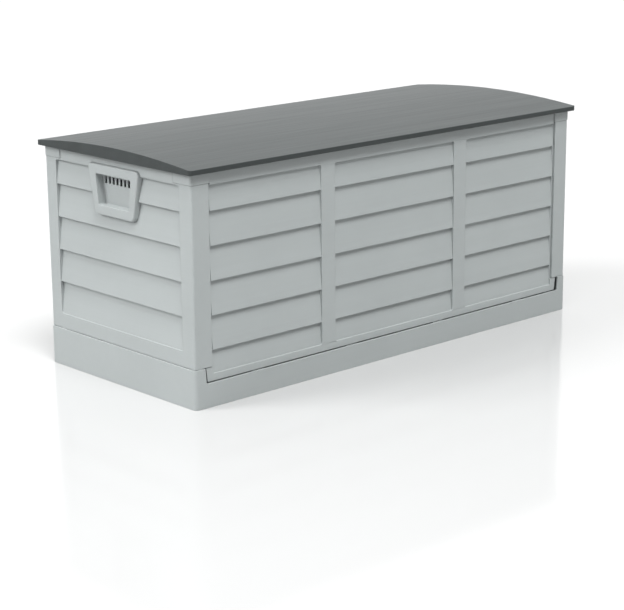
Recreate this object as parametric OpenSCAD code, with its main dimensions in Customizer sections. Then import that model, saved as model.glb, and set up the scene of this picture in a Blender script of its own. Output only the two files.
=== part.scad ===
// Deck storage box: a tray base, two end walls with corner flanges, two long
// walls that fold inward, and a crowned lid on clip hinges.
// Length along X, front towards -Y, up +Z.
// The origin is the centre of the footprint, on the ground. Millimetres.

/* [Walls] */
// Length over the outer faces of the two end walls
wall_length = 1103; // [900:1:1400]
// Depth over the outer faces of the corner flanges
wall_depth = 475; // [470:0.5:700]
// Height of the end walls' top edge above the ground
wall_top = 465.5; // [350:0.5:470]
// Height of the long walls' top edge above the ground
long_wall_top = 464.5; // [350:0.5:469]
// Thickness of a long wall
long_wall_thick = 16; // [14:0.5:18]
// Thickness of an end wall
end_wall_thick = 18; // [14:0.5:18]
// Thickness of moulded skins and ribs
skin = 3; // [2:0.1:3.5]
// Width of the flange that wraps round each corner
flange_width = 43; // [20:1:44]
// Thickness of that flange
flange_thick = 5; // [3:0.5:6]

/* [Clapboards] */
// Height from one board's lip to the next
board_pitch = 69; // [40:1:100]
// Height of the lowest lip above the ground
lowest_lip = 113.5; // [90:0.5:150]
// Depth of a board's upper edge behind the frame
board_recess = 8; // [3:0.5:9]
// Depth of a board's lower lip behind the frame
lip_recess = 1.2; // [0:0.1:3]
// Height of the board fields' top edge
field_top = 440.5; // [300:0.5:442]
// Height of the long walls' field bottom
long_field_bottom = 66; // [60:0.5:100]
// Half width of the long walls' middle field
middle_field = 176; // [120:1:220]
// Width of the stile between two fields
stile = 38; // [20:1:60]
// Half width of the end walls' field
end_field = 201; // [150:1:220]

/* [Base tray] */
// How far the tray stands proud of the walls
tray_proud = 2.5; // [0:0.5:3]
// Height of the tray at its ends
tray_height = 81; // [79:0.5:82]
// Height of the sill under each long wall
sill_height = 50; // [40:0.5:52]
// Half length of the dip along each long side
dip_half = 528; // [515:1:535]
// Thickness of the tray's sides
tray_side = 3.5; // [2.5:0.1:4]
// Top of the tray's floor
floor_top = 6.5; // [5:0.5:6.5]

/* [Lid] */
// Length of the lid
lid_length = 1126; // [1110:1:1200]
// Depth of the lid
lid_depth = 501; // [498:1:540]
// Height of the lid's underside
lid_under = 466; // [466:0.5:480]
// Height of the lid's top along its front and rear edges
lid_edge_top = 476; // [475:0.5:490]
// Rise of the crown above those edges
lid_crown = 14.9; // [2:0.1:20]

/* [Handles] */
// Half width of the bezel at its top
bezel_top_half = 81.5; // [60:0.5:95]
// Half width of the bezel at its bottom
bezel_bottom_half = 64; // [40:0.5:90]
// Height of the bezel's bottom edge
bezel_low = 348; // [300:1:380]
// Height of the bezel's top edge
bezel_high = 450; // [435:0.5:452]
// How far the bezel stands proud of the frame
bezel_proud = 5.5; // [3.5:0.5:8]
// Number of grip slots in the back of the pocket
slot_count = 8; // [3:1:8]

/* [Hidden] */
$fn = 48;

half_l = wall_length / 2;
half_d = wall_depth / 2;
face_y = half_d - 1.5;
tray_x = half_l + tray_proud;
tray_y = half_d + tray_proud;
tray_in_x = tray_x - tray_side;
tray_in_y = tray_y - tray_side;
tray_corner_r = 10;

// corner caps: underside, reach along the end and round the corner, stand-off,
// rounding, and the gaps beside and under a cap
cap_low = 443.9;
cap_side = 53;
cap_front = 46.1;
cap_proud = 1.2;
cap_corner_r = 6;
cap_seam = 1;
cap_seat = 0.3;

// long walls: the face between the corner flanges, and the tongues behind them
proud_half = 504.2;
tongue_half = 527;
tongue_step = 4;
field_corner_r = 5;
seam_gap = 0.6;
sill_gap = 1.4;
foot_gap = 5;
dip_lean = 4;
wall_foot = sill_height + sill_gap;
end_foot = tray_height + seam_gap;
outer_field = middle_field + stile;

// hinge pins: a leg of the wall turns between two ears of the tray
pin_r = 3;
pin_grip = 0.05;
pin_play = 0.35;
leg_half = 15;
ear_from = 15.5;
ear_to = 21.5;
pin_half = 22.5;
head_r = 4.6;
head_thick = 2.3;

// long walls' pins: distance behind the wall's face, and heights
pin_in = 6.5;
lug_r = 6;
front_pin_z = 16.5;
back_pin_z = 33.5;
station_x = [-390, -130, 130, 390];

// end walls' pins
end_pin_in = 17.5;
end_pin_z = 74.5;
end_lug_r = 5.5;
station_y = [-100, 100];

// handle cup: outline corners, rounding of the front edge, side draft
bezel_top_r = 9;
bezel_bottom_r = 11;
bezel_edge_r = 3;
bezel_draft = 0.15;
cup_gap = 0.3;
collar = 6;
cup_deep = 13;
cup_back = 2.5;
pocket_back = cup_deep - cup_back;
pocket_low = 368;
pocket_high = 431.5;
pocket_bottom_half = 50;
pocket_top_half = 57;
pocket_r = 4;
pocket_taper = 1.2;
slot_pitch = 12.5;
slot_half = 3.4;
slot_low = 410.3;
slot_high = 424.7;

// clip hinge of the lid: rods on the back wall, hooks on the lid
rod_y = 243.5;
rod_z = 455;
rod_r = 2.5;
rod_half = 42;
rod_ear_r = 5;
clip_x = [-375, 0, 375];
clip_ears = [[-40, -34], [-10, 10], [34, 40]];
hook_at = 22;
hook_w = 14;
hook_play = 0.6;
hook_back = 240.4;
hook_front = 246.9;
hook_bar_half = 31;

// lid
lid_skin = 3.5;
lid_corner_r = 8;
lid_rib = 2.5;
lid_rib_x = [-530, -440, -300, -180, -60, 60, 180, 300, 440, 530];
lid_rib_y = [-200, -130, -60, 60, 130, 200];
lid_half = lid_depth / 2;
crown_r = (lid_half * lid_half + lid_crown * lid_crown) / (2 * lid_crown);

// hollows under the tray's floor
floor_cols = 10;
floor_rows = 4;
floor_hollow = 3;
floor_rib = 4;

wall_grey = [0.66, 0.68, 0.68];
lid_grey = [0.36, 0.37, 0.38];
hook_grey = [0.74, 0.75, 0.74];
pin_grey = [0.45, 0.46, 0.47];

// ---- helpers ----

// profile in (y, z) drawn from x0 to x1
module along_x(x0, x1) {
  translate([x0, 0, 0])
    rotate([90, 0, 90])
      linear_extrude(x1 - x0)
        children();
}

// profile in (x, z) drawn from y0 to y1
module along_y(y0, y1) {
  translate([0, y1, 0])
    rotate([90, 0, 0])
      linear_extrude(y1 - y0)
        children();
}

module block(x0, x1, y0, y1, z0, z1) {
  translate([x0, y0, z0])
    cube([x1 - x0, y1 - y0, z1 - z0]);
}

module rod_x(x0, x1, y, z, r) {
  translate([x0, y, z])
    rotate([0, 90, 0])
      cylinder(h = x1 - x0, r = r);
}

module rounded_rect(x0, x1, y0, y1, r) {
  translate([x0 + r, y0])
    square([x1 - x0 - 2 * r, y1 - y0]);
  translate([x0, y0 + r])
    square([x1 - x0, y1 - y0 - 2 * r]);
  for (x = [x0 + r, x1 - r])
    for (y = [y0 + r, y1 - r])
      translate([x, y])
        circle(r);
}

// ---- clapboards: outer face at y = 0, depth towards +Y ----

function board_depth(h) = lip_recess + (board_recess - lip_recess) * h / board_pitch;

// what is cut from the face to leave sloping boards; the field's corners are
// round, and an open field runs on past x1 with no corners there
module board_relief(x0, x1, z0, z1, open = 0) {
  intersection() {
    union() {
      for (i = [-1 : 4]) {
        lo = lowest_lip + i * board_pitch;
        a = max(lo, z0);
        b = min(lo + board_pitch, z1);
        if (b - a > 1)
          along_x(x0, x1)
            polygon([[-2, a], [board_depth(a - lo), a], [board_depth(b - lo), b], [-2, b]]);
      }
    }
    along_y(-3, board_recess + 1)
      rounded_rect(x0, x1 + open, z0, z1, field_corner_r);
  }
}

// what is cut from the back so a skin and ribs remain
module board_cells(x0, x1, z0, z1, t, n) {
  w = (x1 - x0) / n;
  for (i = [-1 : 4]) {
    lo = lowest_lip + i * board_pitch;
    a = max(lo, z0) + skin / 2 + 1;
    b = min(lo + board_pitch, z1) - skin / 2;
    if (b - a > 8)
      for (k = [0 : n - 1])
        along_x(x0 + k * w + skin / 2, x0 + (k + 1) * w - skin / 2)
          polygon([[t + 1, a], [board_depth(a - lo) + skin, a], [board_depth(b - lo) + skin, b],
                   [t + 1, b]]);
  }
}

module cells(x0, x1, z0, z1, t, n) {
  w = (x1 - x0) / n;
  for (k = [0 : n - 1])
    block(x0 + k * w + skin / 2, x0 + (k + 1) * w - skin / 2, skin, t + 1, z0, z1);
}

// ---- long walls: face at y = 0 ----

// what is cut from one end of a long wall's foot, in (x, z)
module foot_end() {
  low = sill_height - 1;
  high = tray_height - seam_gap;
  beyond = max(dip_half, tongue_half) + 1;
  polygon([[dip_half - dip_lean - foot_gap, low], [dip_half - foot_gap, high],
           [beyond, high], [beyond, low]]);
}

module long_wall(pin_z) {
  t = long_wall_thick;
  difference() {
    union() {
      block(-tongue_half, tongue_half, 0, t, wall_foot, long_wall_top);
      for (x = station_x) {
        block(x - leg_half, x + leg_half, 0.5, 10.5, pin_z, long_field_bottom - 6);
        rod_x(x - leg_half, x + leg_half, pin_in, pin_z, lug_r);
      }
    }
    // tongues stepped back behind the corner flanges; below them the wall
    // keeps its full thickness and fills the tray's dip
    for (s = [-1, 1])
      scale([s, 1, 1])
        block(proud_half, tongue_half + 1, -2, tongue_step, tray_height - seam_gap,
              long_wall_top + 1);
    // the foot's ends lean like the dip's and stay clear of them
    for (s = [-1, 1])
      scale([s, 1, 1])
        along_y(-1, t + 1)
          foot_end();
    board_relief(-middle_field, middle_field, long_field_bottom, field_top);
    for (s = [-1, 1])
      scale([s, 1, 1])
        board_relief(outer_field, proud_half + 0.5, long_field_bottom, field_top, 20);
    // back side: cells between ribs
    board_cells(-middle_field, middle_field, long_field_bottom, field_top, t, 3);
    for (s = [-1, 1])
      scale([s, 1, 1]) {
        board_cells(outer_field, proud_half, long_field_bottom, field_top, t, 3);
        cells(middle_field, outer_field, long_field_bottom + 2, field_top - 1.5, t, 1);
      }
    cells(-proud_half, proud_half, field_top + 1.5, long_wall_top - skin, t, 9);
    // pin bores
    for (x = station_x)
      rod_x(x - leg_half - 1, x + leg_half + 1, pin_in, pin_z, pin_r + pin_play);
  }
}

module front_wall() {
  color(wall_grey)
    translate([0, -face_y, 0])
      long_wall(front_pin_z);
}

// the back wall carries the ears that hold the lid's hinge rods
module back_wall() {
  color(wall_grey)
    difference() {
      union() {
        translate([0, face_y, 0])
          rotate([0, 0, 180])
            long_wall(back_pin_z);
        for (x = clip_x)
          for (e = clip_ears) {
            block(x + e[0], x + e[1], face_y - 1, rod_y, rod_z - rod_ear_r, rod_z + rod_ear_r);
            rod_x(x + e[0], x + e[1], rod_y, rod_z, rod_ear_r);
          }
      }
      for (x = clip_x)
        rod_x(x - rod_half - 8, x + rod_half + 8, rod_y, rod_z, rod_r + pin_grip);
    }
}

module lid_hinge_rods() {
  color(pin_grey)
    for (x = clip_x)
      rod_x(x - rod_half, x + rod_half, rod_y, rod_z, rod_r);
}

// ---- end walls: face at y = 0, width along X ----

module end_plan() {
  w = half_d;
  r = flange_thick;
  translate([-w + r, 0])
    square([2 * (w - r), end_wall_thick]);
  translate([-w, r])
    square([2 * w, end_wall_thick - r]);
  for (s = [-1, 1]) {
    translate([s * (w - r), r])
      circle(r);
    translate([s > 0 ? w - flange_thick : -w, r])
      square([flange_thick, flange_width - r]);
  }
}

// outline of the handle bezel in (x, z), grown by g
module bezel_outline(g) {
  hull()
    for (s = [-1, 1]) {
      translate([s * (bezel_top_half - bezel_top_r), bezel_high - bezel_top_r])
        circle(bezel_top_r + g, $fn = 40);
      translate([s * (bezel_bottom_half - bezel_bottom_r), bezel_low + bezel_bottom_r])
        circle(bezel_bottom_r + g, $fn = 40);
    }
}

// a thin slice of the bezel at depth y, grown by g
module bezel_slice(y, g) {
  along_y(y, y + 0.01)
    bezel_outline(g);
}

// the bezel's body widens a little as it goes into the wall
module bezel_body(y0, y1, g) {
  hull() {
    bezel_slice(y0, g);
    bezel_slice(y1 - 0.01, g + (y1 - y0) * bezel_draft);
  }
}

// the wall with its legs, cap seats, boards and the cells behind them
module end_panel() {
  t = end_wall_thick;
  difference() {
    union() {
      translate([0, 0, end_foot])
        linear_extrude(wall_top - end_foot)
          end_plan();
      // hinge legs that stand in the tray
      for (x = station_y) {
        block(x - leg_half, x + leg_half, 6, end_pin_in, end_pin_z - 4, end_foot + 4);
        block(x - leg_half, x + leg_half, end_pin_in - 1, end_pin_in + end_lug_r,
              end_pin_z, end_foot + 4);
        rod_x(x - leg_half, x + leg_half, end_pin_in, end_pin_z, end_lug_r);
      }
    }
    // seats of the corner caps
    for (s = [-1, 1])
      scale([s, 1, 1])
        block(half_d - cap_side - cap_seam, half_d + 5, -5, 60, cap_low - cap_seat, wall_top + 1);
    board_relief(-end_field, end_field, lowest_lip, field_top);
    board_cells(-end_field, end_field, lowest_lip, field_top, t, 4);
    for (s = [-1, 1])
      scale([s, 1, 1])
        cells(end_field, half_d - flange_thick + 1.5, end_foot + skin, field_top - 1.5, t, 1);
    cells(-end_field, end_field, end_foot + 8, lowest_lip - 1.5, t, 4);
    cells(-half_d + cap_side + 3, half_d - cap_side - 3, field_top + 1.5, wall_top - skin, t, 4);
    for (x = station_y)
      rod_x(x - leg_half - 1, x + leg_half + 1, end_pin_in, end_pin_z, pin_r + pin_grip);
  }
}

// the panel with a collar round the opening that takes the handle cup
module end_wall() {
  difference() {
    union() {
      end_panel();
      bezel_body(board_recess + 1, end_wall_thick, collar);
    }
    bezel_body(-bezel_proud, end_wall_thick + 1, cup_gap);
  }
}

module place_left() {
  translate([-half_l, 0, 0])
    rotate([0, 0, -90])
      children();
}

module place_right() {
  translate([half_l, 0, 0])
    rotate([0, 0, 90])
      children();
}

module left_end_wall() {
  color(wall_grey)
    place_left()
      end_wall();
}

module right_end_wall() {
  color(wall_grey)
    place_right()
      end_wall();
}

// ---- handle cups ----

// outline of the finger pocket in (x, z), shrunk by g
module pocket_outline(g) {
  low = pocket_low + pocket_r + g;
  high = pocket_high - pocket_r - g;
  top = pocket_top_half - pocket_r - g;
  bottom = pocket_bottom_half - pocket_r - g;
  offset(r = pocket_r, $fn = 32)
    polygon([[-top, high], [top, high], [bottom, low], [-bottom, low]]);
}

module handle_cup() {
  front = -bezel_proud;
  difference() {
    hull() {
      // front edge rounded over a quarter turn
      for (turn = [0, 30, 60, 90])
        bezel_slice(front + bezel_edge_r * (1 - cos(turn)), bezel_edge_r * (sin(turn) - 1));
      bezel_slice(cup_deep - 0.01, cup_deep * bezel_draft);
    }
    // finger pocket, a little narrower at the back
    hull() {
      along_y(front - 0.1, front)
        pocket_outline(0);
      along_y(pocket_back - 0.1, pocket_back)
        pocket_outline(pocket_taper);
    }
    // grip slots
    for (k = [0 : slot_count - 1]) {
      x = (k - (slot_count - 1) / 2) * slot_pitch;
      block(x - slot_half, x + slot_half, pocket_back - 1, cup_deep + 1, slot_low, slot_high);
    }
  }
}

module left_handle_cup() {
  color(wall_grey)
    place_left()
      handle_cup();
}

module right_handle_cup() {
  color(wall_grey)
    place_right()
      handle_cup();
}

// ---- corner caps, drawn for the corner at +X of an end wall's own frame ----

module corner_cap() {
  r = cap_corner_r;
  w = half_d + cap_proud;
  inner = half_d - flange_thick;
  translate([0, 0, cap_low])
    linear_extrude(wall_top - cap_low) {
      translate([half_d - cap_side, -cap_proud])
        square([cap_side + cap_proud - r, end_wall_thick + cap_proud]);
      translate([inner, -cap_proud + r])
        square([w - inner, cap_front + cap_proud - r]);
      translate([w - r, -cap_proud + r])
        circle(r);
    }
}

module cap_front_left() {
  color(wall_grey)
    place_left()
      corner_cap();
}

module cap_rear_left() {
  color(wall_grey)
    place_left()
      mirror([1, 0, 0])
        corner_cap();
}

module cap_front_right() {
  color(wall_grey)
    place_right()
      mirror([1, 0, 0])
        corner_cap();
}

module cap_rear_right() {
  color(wall_grey)
    place_right()
      corner_cap();
}

// ---- base tray ----

// ears that hold one long wall's pins, in the wall's own frame
module long_ears(pin_z) {
  root = face_y - tray_in_y - 1;
  for (x = station_x)
    for (e = [[-ear_to, -ear_from], [ear_from, ear_to]])
      difference() {
        union() {
          block(x + e[0], x + e[1], root, pin_in + lug_r, floor_top - 1, pin_z);
          rod_x(x + e[0], x + e[1], pin_in, pin_z, lug_r);
          block(x + e[0], x + e[1], root, pin_in, pin_z, pin_z + lug_r);
        }
        rod_x(x - 30, x + 30, pin_in, pin_z, pin_r + pin_grip);
      }
}

// ears that hold one end wall's pins, in the end wall's own frame
module end_ears() {
  root = tray_side - tray_proud - 1;
  for (x = station_y)
    for (e = [[-ear_to, -ear_from], [ear_from, ear_to]])
      difference() {
        block(x + e[0], x + e[1], root, end_pin_in + end_lug_r, floor_top - 1,
              end_pin_z + end_lug_r);
        rod_x(x - 30, x + 30, end_pin_in, end_pin_z, pin_r + pin_grip);
      }
}

// outline of the dip in one long side of the tray, in (x, z)
module dip_outline() {
  over = tray_height + 1;
  polygon([[-dip_half, over], [-dip_half + 2.5, sill_height + 1.5],
           [-dip_half + dip_lean, sill_height], [dip_half - dip_lean, sill_height],
           [dip_half - 2.5, sill_height + 1.5], [dip_half, over]]);
}

// hollows under the floor, with a grid of ribs between them
module floor_hollows() {
  w = 2 * tray_in_x / floor_cols;
  d = 2 * tray_in_y / floor_rows;
  for (i = [0 : floor_cols - 1])
    for (j = [0 : floor_rows - 1])
      translate([-tray_in_x + i * w + floor_rib / 2, -tray_in_y + j * d + floor_rib / 2, -1])
        cube([w - floor_rib, d - floor_rib, floor_hollow + 1]);
}

module base_tray() {
  inner_r = tray_corner_r - tray_side;
  color(wall_grey)
    union() {
      difference() {
        linear_extrude(tray_height)
          rounded_rect(-tray_x, tray_x, -tray_y, tray_y, tray_corner_r);
        translate([0, 0, floor_top])
          linear_extrude(tray_height)
            rounded_rect(-tray_in_x, tray_in_x, -tray_in_y, tray_in_y, inner_r);
        for (y = [[-tray_y - 5, -tray_in_y + 0.5], [tray_in_y - 0.5, tray_y + 5]])
          along_y(y[0], y[1])
            dip_outline();
        floor_hollows();
      }
      // centre pad under the floor
      cylinder(h = floor_hollow + 1, r = 30);
      translate([0, -face_y, 0])
        long_ears(front_pin_z);
      translate([0, face_y, 0])
        rotate([0, 0, 180])
          long_ears(back_pin_z);
      place_left()
        end_ears();
      place_right()
        end_ears();
    }
}

// ---- pins, each with a head at one end ----

module headed_pin(x, y, z) {
  rod_x(x - pin_half, x + pin_half, y, z, pin_r);
  rod_x(x + ear_to + 0.2, x + ear_to + 0.2 + head_thick, y, z, head_r);
}

module front_wall_pins() {
  color(pin_grey)
    for (x = station_x)
      headed_pin(x, -face_y + pin_in, front_pin_z);
}

module back_wall_pins() {
  color(pin_grey)
    for (x = station_x)
      headed_pin(x, face_y - pin_in, back_pin_z);
}

module left_wall_pins() {
  color(pin_grey)
    place_left()
      for (x = station_y)
        headed_pin(x, end_pin_in, end_pin_z);
}

module right_wall_pins() {
  color(pin_grey)
    place_right()
      for (x = station_y)
        headed_pin(x, end_pin_in, end_pin_z);
}

// ---- lid ----

// the lid's crowned block, shrunk by inset and with its underside raised by lift
module crowned(inset, lift) {
  intersection() {
    translate([0, 0, lid_under + lift])
      linear_extrude(60)
        rounded_rect(-lid_length / 2 + inset, lid_length / 2 - inset,
                     -lid_half + inset, lid_half - inset, lid_corner_r - inset);
    rod_x(-lid_length / 2 - 5, lid_length / 2 + 5, 0,
          lid_edge_top + lid_crown - crown_r, crown_r - inset, $fn = 720);
  }
}

module lid_ribs() {
  h = lid_rib / 2;
  for (x = lid_rib_x)
    block(x - h, x + h, -lid_half, lid_half, lid_under, lid_under + 40);
  for (y = lid_rib_y)
    block(-lid_length / 2, lid_length / 2, y - h, y + h, lid_under, lid_under + 40);
}

module lid() {
  color(lid_grey)
    union() {
      difference() {
        crowned(0, 0);
        crowned(lid_skin, -1);
      }
      intersection() {
        crowned(1, 2);
        lid_ribs();
      }
    }
}

// one hook: a tab with a round end, bored for the rod, its mouth towards the front
module hook(x) {
  bore = rod_r + hook_play;
  low = rod_z - rod_ear_r;
  half = hook_w / 2;
  difference() {
    intersection() {
      union() {
        block(x - half, x + half, hook_back, rod_y + rod_ear_r, rod_z, lid_under - 0.4);
        block(x - half, x + half, hook_back, hook_front, lid_under - 1, lid_under + 2);
        rod_x(x - half, x + half, rod_y, rod_z, rod_ear_r);
      }
      along_y(hook_back - 10, rod_y + 10) {
        translate([x, low + half])
          circle(half);
        translate([x - half, low + half])
          square([hook_w, 30]);
      }
    }
    rod_x(x - hook_w, x + hook_w, rod_y, rod_z, bore);
    block(x - hook_w, x + hook_w, rod_y - 12, rod_y, rod_z - bore, rod_z + bore);
    block(x - hook_w, x + hook_w, rod_y - 12, rod_y - 1.5, low - 5, rod_z);
  }
}

// a bar inside the lid's rear edge joins two hooks
module hinge_hooks(x) {
  color(hook_grey) {
    block(x - hook_bar_half, x + hook_bar_half, hook_back, hook_front,
          lid_under + 1, lid_edge_top - lid_skin);
    hook(x - hook_at);
    hook(x + hook_at);
  }
}

module hinge_hooks_left() {
  hinge_hooks(clip_x[0]);
}

module hinge_hooks_middle() {
  hinge_hooks(clip_x[1]);
}

module hinge_hooks_right() {
  hinge_hooks(clip_x[2]);
}

base_tray();
left_end_wall();
right_end_wall();
front_wall();
back_wall();
lid();
left_handle_cup();
right_handle_cup();
cap_front_left();
cap_front_right();
cap_rear_left();
cap_rear_right();
front_wall_pins();
back_wall_pins();
left_wall_pins();
right_wall_pins();
lid_hinge_rods();
hinge_hooks_left();
hinge_hooks_middle();
hinge_hooks_right();
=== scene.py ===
"""Deck storage box: looks, floor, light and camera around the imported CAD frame."""

import math

import bpy
from mathutils import Matrix, Vector


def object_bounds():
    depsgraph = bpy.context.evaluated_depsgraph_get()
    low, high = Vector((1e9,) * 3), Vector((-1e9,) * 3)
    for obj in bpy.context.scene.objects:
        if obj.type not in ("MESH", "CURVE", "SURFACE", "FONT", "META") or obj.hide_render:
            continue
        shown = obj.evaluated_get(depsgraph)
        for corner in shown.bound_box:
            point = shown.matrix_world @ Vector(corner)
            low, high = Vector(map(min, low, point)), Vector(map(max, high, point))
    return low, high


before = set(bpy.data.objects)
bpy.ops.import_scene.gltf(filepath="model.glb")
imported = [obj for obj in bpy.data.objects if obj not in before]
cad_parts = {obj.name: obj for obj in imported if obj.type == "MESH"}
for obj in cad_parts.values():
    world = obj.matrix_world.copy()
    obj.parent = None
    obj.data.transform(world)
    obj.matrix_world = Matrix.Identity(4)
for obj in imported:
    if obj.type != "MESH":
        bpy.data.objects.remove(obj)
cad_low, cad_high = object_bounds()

MM = 0.001

# ---------------------------------------------------------------- node helpers


class Shader:
    """A small builder for one material's node tree."""

    def __init__(self, name):
        self.material = bpy.data.materials.new(name)
        self.material.use_nodes = True
        self.tree = self.material.node_tree
        self.tree.nodes.clear()
        self.out = self.add("ShaderNodeOutputMaterial")
        self.bsdf = self.add("ShaderNodeBsdfPrincipled")
        self.link(self.bsdf, "BSDF", self.out, "Surface")

    def add(self, kind, **values):
        node = self.tree.nodes.new(kind)
        for key, value in values.items():
            setattr(node, key, value)
        return node

    def link(self, a, a_socket, b, b_socket):
        self.tree.links.new(a.outputs[a_socket], b.inputs[b_socket])

    def place(self, scale):
        """Object coordinates, stretched by scale along each axis."""
        coords = self.add("ShaderNodeTexCoord")
        mapping = self.add("ShaderNodeMapping")
        mapping.inputs["Scale"].default_value = scale
        self.link(coords, "Object", mapping, "Vector")
        return mapping

    def noise(self, scale, stretch=(1, 1, 1), detail=3.0, rough=0.55, distort=0.0):
        node = self.add("ShaderNodeTexNoise")
        node.inputs["Scale"].default_value = scale
        node.inputs["Detail"].default_value = detail
        node.inputs["Roughness"].default_value = rough
        node.inputs["Distortion"].default_value = distort
        self.link(self.place(stretch), "Vector", node, "Vector")
        return node

    def ramp(self, source, socket, low, high, start=0.0, end=1.0):
        """source's value, mapped from start..end to low..high."""
        node = self.add("ShaderNodeMapRange")
        node.inputs["From Min"].default_value = start
        node.inputs["From Max"].default_value = end
        node.inputs["To Min"].default_value = low
        node.inputs["To Max"].default_value = high
        self.link(source, socket, node, "Value")
        return node

    def math(self, operation, a, a_socket, b, b_socket=None):
        node = self.add("ShaderNodeMath", operation=operation)
        self.tree.links.new(a.outputs[a_socket], node.inputs[0])
        if b_socket is None:
            node.inputs[1].default_value = b
        else:
            self.tree.links.new(b.outputs[b_socket], node.inputs[1])
        return node

    def tint(self, base, factor, factor_socket):
        """base colour times a grey factor that stays near 1."""
        node = self.add("ShaderNodeMix", data_type="RGBA", blend_type="MULTIPLY")
        node.inputs["Factor"].default_value = 1.0
        if isinstance(base, tuple):
            node.inputs["A"].default_value = (*base, 1.0)
        else:
            self.tree.links.new(base.outputs["Result"], node.inputs["A"])
        self.tree.links.new(factor.outputs[factor_socket], node.inputs["B"])
        return node

    def bump(self, height, socket, strength, distance, below=None):
        node = self.add("ShaderNodeBump")
        node.inputs["Strength"].default_value = strength
        node.inputs["Distance"].default_value = distance
        self.link(height, socket, node, "Height")
        if below is not None:
            self.link(below, "Normal", node, "Normal")
        return node


def edge_mask(shader, radius):
    """0 on flats, towards 1 where the surface turns within the radius."""
    soft = shader.add("ShaderNodeBevel", samples=6)
    soft.inputs["Radius"].default_value = radius
    plain = shader.add("ShaderNodeNewGeometry")
    dot = shader.add("ShaderNodeVectorMath", operation="DOT_PRODUCT")
    shader.link(soft, "Normal", dot, 0)
    shader.link(plain, "Normal", dot, 1)
    return shader.ramp(dot, "Value", 1.0, 0.0, 0.75, 1.0)


def moulded_resin(name, colour, grain_stretch, grain_strength, rough, edge_highlight, gloss=0.5, bloom=0.0):
    """Moulded outdoor resin: spark texture, grain streaks, soft clouds, and a painted highlight on
    rounded edges.

    grain_stretch gives the noise's scale along each axis, and bloom the dusty sheen.
    """
    s = Shader(name)
    clouds = s.noise(3.5, detail=4.0)
    streaks = s.noise(1.0, grain_stretch, detail=5.0, rough=0.6, distort=0.4)
    bands = s.noise(0.22, grain_stretch, detail=3.0)
    spark = s.noise(1400.0, detail=2.0, rough=0.7)
    cloud_tint = s.ramp(clouds, "Fac", 0.97, 1.03, 0.3, 0.7)
    streak_tint = s.ramp(streaks, "Fac", 1.0 - grain_strength, 1.0 + grain_strength, 0.3, 0.7)
    band_tint = s.ramp(bands, "Fac", 1.0 - grain_strength, 1.0 + grain_strength, 0.3, 0.7)
    grain_tint = s.math("MULTIPLY", streak_tint, "Result", band_tint, "Result")
    both = s.math("MULTIPLY", cloud_tint, "Result", grain_tint, "Value")
    # painted highlight: lightens the base colour where the surface turns at rounded edges
    edges = s.ramp(edge_mask(s, 1.6 * MM), "Result", 1.0, 1.0 + edge_highlight)
    factor = s.math("MULTIPLY", both, "Value", edges, "Result")
    s.link(s.tint(colour, factor, "Value"), "Result", s.bsdf, "Base Color")
    rough_map = s.ramp(streaks, "Fac", rough - 0.05, rough + 0.06, 0.3, 0.7)
    s.link(rough_map, "Result", s.bsdf, "Roughness")
    fine = s.bump(spark, "Fac", 0.35, 0.12 * MM)
    grain = s.bump(streaks, "Fac", 0.5, 0.25 * MM, fine)
    s.link(grain, "Normal", s.bsdf, "Normal")
    s.bsdf.inputs["IOR"].default_value = 1.5
    s.bsdf.inputs["Specular IOR Level"].default_value = gloss
    s.bsdf.inputs["Sheen Weight"].default_value = bloom
    s.bsdf.inputs["Sheen Roughness"].default_value = 0.45
    s.bsdf.inputs["Sheen Tint"].default_value = (0.90, 1.0, 1.0, 1.0)
    return s.material


def drawn_steel(name, colour):
    """Plain drawn rod: fine lines along X and a dull zinc bloom."""
    s = Shader(name)
    lines = s.noise(1.0, (30, 2500, 2500), detail=3.0)
    bloom = s.noise(260.0, detail=3.0)
    factor = s.ramp(bloom, "Fac", 0.85, 1.08, 0.35, 0.65)
    s.link(s.tint(colour, factor, "Result"), "Result", s.bsdf, "Base Color")
    s.link(s.ramp(lines, "Fac", 0.28, 0.5, 0.3, 0.7), "Result", s.bsdf, "Roughness")
    s.link(s.bump(lines, "Fac", 0.4, 0.05 * MM), "Normal", s.bsdf, "Normal")
    s.bsdf.inputs["Metallic"].default_value = 1.0
    return s.material


# --------------------------------------------------------------- the materials

WALL = (0.330, 0.355, 0.355)
LID = (0.022, 0.027, 0.027)
HOOK = (0.62, 0.65, 0.64)
STEEL = (0.48, 0.49, 0.50)

# scale of the grain along X, Y and Z; the small number is the grain's own direction
GRAIN_X = (4, 240, 240)
GRAIN_Y = (240, 4, 240)
GRAIN_LID = (3, 150, 150)
GRAIN_NONE = (60, 60, 60)

# each material's sixth argument is the strength of its painted edge highlight
materials = {
    "long": moulded_resin("long_wall_resin", WALL, GRAIN_X, 0.012, 0.48, 0.10),
    "end": moulded_resin("end_wall_resin", WALL, GRAIN_Y, 0.012, 0.48, 0.10),
    "lid": moulded_resin("lid_resin", LID, GRAIN_LID, 0.12, 0.5, 0.8, 0.42, 0.10),
    "hook": moulded_resin("hook_resin", HOOK, GRAIN_NONE, 0.01, 0.32, 0.06),
    "pin": drawn_steel("pin_steel", STEEL),
}


def fresh_normals():
    """A modifier group that drops the stored normals and shades every face and edge smooth."""
    group = bpy.data.node_groups.new("fresh_normals", "GeometryNodeTree")
    group.interface.new_socket("Geometry", in_out="INPUT", socket_type="NodeSocketGeometry")
    group.interface.new_socket("Geometry", in_out="OUTPUT", socket_type="NodeSocketGeometry")
    drop = group.nodes.new("GeometryNodeRemoveAttribute")
    drop.inputs["Name"].default_value = "custom_normal"
    chain = [group.nodes.new("NodeGroupInput"), drop]
    for domain in ("FACE", "EDGE"):
        smooth = group.nodes.new("GeometryNodeSetShadeSmooth")
        smooth.domain = domain
        smooth.inputs["Shade Smooth"].default_value = True
        chain.append(smooth)
    chain.append(group.nodes.new("NodeGroupOutput"))
    for before, after in zip(chain, chain[1:]):
        group.links.new(before.outputs[0], after.inputs[0])
    return group


fresh = fresh_normals()

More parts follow.
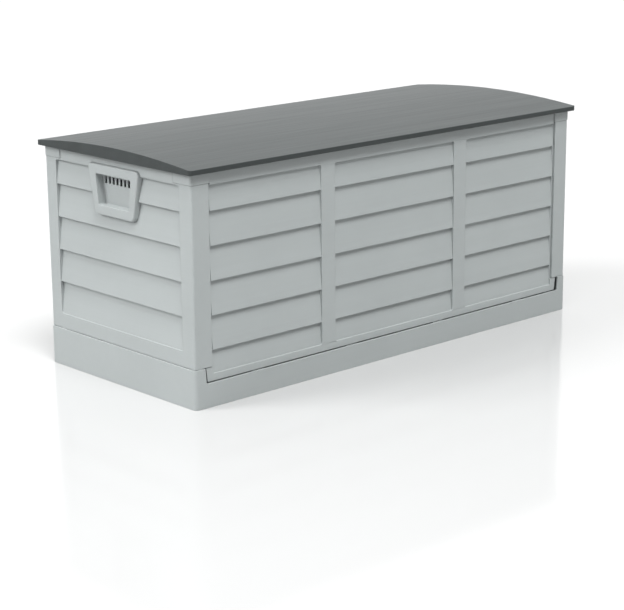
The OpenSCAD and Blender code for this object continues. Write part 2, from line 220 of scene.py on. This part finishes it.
# corners closer than this are one corner; faces within this many degrees are one face
WELD_GAP = 0.02 * MM
FLAT_ANGLE = 0.4


def dress(node, material, edge, segments=3, angle=30, ribbed=True):
    """Gives a CAD node its material and rounds its edges by edge metres.

    A ribbed node is triangulated first, so that the bevel stays clean where ribs meet.
    """
    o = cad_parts[node]
    o.data.materials.clear()
    o.data.materials.append(materials[material])
    o.modifiers.new("fresh", "NODES").node_group = fresh
    weld = o.modifiers.new("weld", "WELD")
    weld.merge_threshold = WELD_GAP
    flat = o.modifiers.new("flat", "DECIMATE")
    flat.decimate_type = "DISSOLVE"
    flat.angle_limit = math.radians(FLAT_ANGLE)
    if ribbed:
        fill = o.modifiers.new("fill", "TRIANGULATE")
        fill.ngon_method = "BEAUTY"
    bevel = o.modifiers.new("edge", "BEVEL")
    bevel.width = edge
    bevel.segments = segments
    bevel.limit_method = "ANGLE"
    bevel.angle_limit = math.radians(angle)
    bevel.miter_outer = "MITER_ARC"
    bevel.use_clamp_overlap = not ribbed
    shade = o.modifiers.new("shade", "WEIGHTED_NORMAL")
    shade.weight = 80


for node in ("front_wall", "back_wall"):
    dress(node, "long", 0.7 * MM)
for node in ("left_end_wall", "right_end_wall"):
    dress(node, "end", 0.7 * MM)
dress("base_tray", "long", 0.7 * MM)
for node in ("left_handle_cup", "right_handle_cup"):
    dress(node, "end", 0.8 * MM, angle=34)
for node in ("cap_front_left", "cap_front_right", "cap_rear_left", "cap_rear_right"):
    dress(node, "end", 1.8 * MM, ribbed=False)
dress("lid", "lid", 1.0 * MM)
for node in ("hinge_hooks_left", "hinge_hooks_middle", "hinge_hooks_right"):
    dress(node, "hook", 0.6 * MM, ribbed=False)
for node in (
    "front_wall_pins",
    "back_wall_pins",
    "left_wall_pins",
    "right_wall_pins",
    "lid_hinge_rods",
):
    dress(node, "pin", 0.35 * MM, 2, ribbed=False)

# ------------------------------------------------------------ floor and light

FLOOR = (0.49, 0.492, 0.492)
FLOOR_SPAN = 60

# the room's brightness at the horizon and overhead, and the glow behind the object
SKY_LOW = 0.18
SKY_TOP = 0.70
BACKDROP = (0.68, 0.73, 0.10)
BACKDROP_FROM, BACKDROP_FULL = 0.3, 0.9
BACKDROP_GLOW = 0.88

# name, azimuth, height and spread in degrees, strength
BROAD_LAMPS = [
    ("end_key", -28, 35, 30, 0.80),
    ("front_key", 74, 61, 26, 1.0),
]

# softbox: place, what it looks at, size in metres, watts
SOFTBOX_PLACE = (-1.5, -1.2, 2.4)
SOFTBOX_TARGET = (-0.3, -0.1, 0.3)
SOFTBOX_SIZE = 1.0
SOFTBOX_WATTS = 14


def studio_floor():
    """A plain pale sheet with a soft gloss, under the whole scene."""
    bpy.ops.mesh.primitive_plane_add(size=FLOOR_SPAN, location=(0, 0, cad_low[2]))
    floor = bpy.context.object
    floor.name = "studio_floor"
    s = Shader("studio_floor")
    soft = s.noise(0.8, detail=2.0)
    s.link(s.tint(FLOOR, s.ramp(soft, "Fac", 0.985, 1.01), "Result"), "Result", s.bsdf, "Base Color")
    s.link(s.ramp(soft, "Fac", 0.10, 0.13), "Result", s.bsdf, "Roughness")
    floor.data.materials.append(s.material)


def broad_lamp(name, azimuth, height, spread, strength):
    """A far soft lamp: azimuth is from -X towards -Y.

    Strength 1 turns a white face that looks straight at it white.
    """
    data = bpy.data.lights.new(name, "SUN")
    data.energy = strength * math.pi
    data.angle = math.radians(spread)
    lamp = bpy.data.objects.new(name, data)
    turn, rise = math.radians(azimuth), math.radians(height)
    source = Vector((-math.cos(turn) * math.cos(rise), -math.sin(turn) * math.cos(rise), math.sin(rise)))
    lamp.rotation_euler = source.to_track_quat("Z", "Y").to_euler()
    bpy.context.scene.collection.objects.link(lamp)


def near_lamp(name, place, target, size, watts):
    """A softbox close to the object, so that its light falls off along the walls."""
    data = bpy.data.lights.new(name, "AREA")
    data.size = size
    data.energy = watts
    lamp = bpy.data.objects.new(name, data)
    lamp.location = place
    lamp.rotation_euler = (Vector(target) - Vector(place)).to_track_quat("-Z", "Y").to_euler()
    bpy.context.scene.collection.objects.link(lamp)


def surround():
    """A pale room, lighter overhead, with a bright backdrop behind the object."""
    world = bpy.data.worlds.new("studio")
    bpy.context.scene.world = world
    world.use_nodes = True
    tree = world.node_tree

    def add(kind, **inputs):
        node = tree.nodes.new(kind)
        for key, value in inputs.items():
            node.inputs[key.replace("_", " ")].default_value = value
        return node

    direction = tree.nodes.new("ShaderNodeTexCoord").outputs["Generated"]
    parts = add("ShaderNodeSeparateXYZ")
    overhead = add("ShaderNodeMapRange", To_Min=SKY_LOW, To_Max=SKY_TOP)
    dot = tree.nodes.new("ShaderNodeVectorMath")
    dot.operation = "DOT_PRODUCT"
    dot.inputs[1].default_value = BACKDROP
    glow = add(
        "ShaderNodeMapRange",
        From_Min=BACKDROP_FROM,
        From_Max=BACKDROP_FULL,
        To_Max=BACKDROP_GLOW,
    )
    glow.interpolation_type = "SMOOTHSTEP"
    both = tree.nodes.new("ShaderNodeMath")
    sky = tree.nodes["Background"]
    sky.inputs["Color"].default_value = (1, 1, 1, 1)
    tree.links.new(direction, parts.inputs[0])
    tree.links.new(direction, dot.inputs[0])
    tree.links.new(parts.outputs["Z"], overhead.inputs["Value"])
    tree.links.new(dot.outputs["Value"], glow.inputs["Value"])
    tree.links.new(overhead.outputs["Result"], both.inputs[0])
    tree.links.new(glow.outputs["Result"], both.inputs[1])
    tree.links.new(both.outputs[0], sky.inputs["Strength"])


studio_floor()
surround()
for lamp in BROAD_LAMPS:
    broad_lamp(*lamp)
near_lamp("softbox", SOFTBOX_PLACE, SOFTBOX_TARGET, SOFTBOX_SIZE, SOFTBOX_WATTS)

# --------------------------------------------------------------------- camera

FRAME_WIDTH = 624
FOCAL = 1847.2
EYE = (-2.6997, -2.9060, 1.1149)
YAW, PITCH, ROLL = 42.627, 14.807, -0.488


def photo_camera():
    data = bpy.data.cameras.new("camera")
    data.sensor_width = 36.0
    data.lens = FOCAL / FRAME_WIDTH * data.sensor_width
    data.clip_end = 100
    camera = bpy.data.objects.new("camera", data)
    turn = Matrix.Rotation(math.radians(-YAW), 4, "Z")
    tilt = Matrix.Rotation(math.radians(90 - PITCH), 4, "X")
    roll = Matrix.Rotation(math.radians(ROLL), 4, "Z")
    camera.matrix_world = Matrix.Translation(EYE) @ turn @ tilt @ roll
    bpy.context.scene.collection.objects.link(camera)
    bpy.context.scene.camera = camera


photo_camera()
bpy.context.scene.view_settings.view_transform = "Standard"
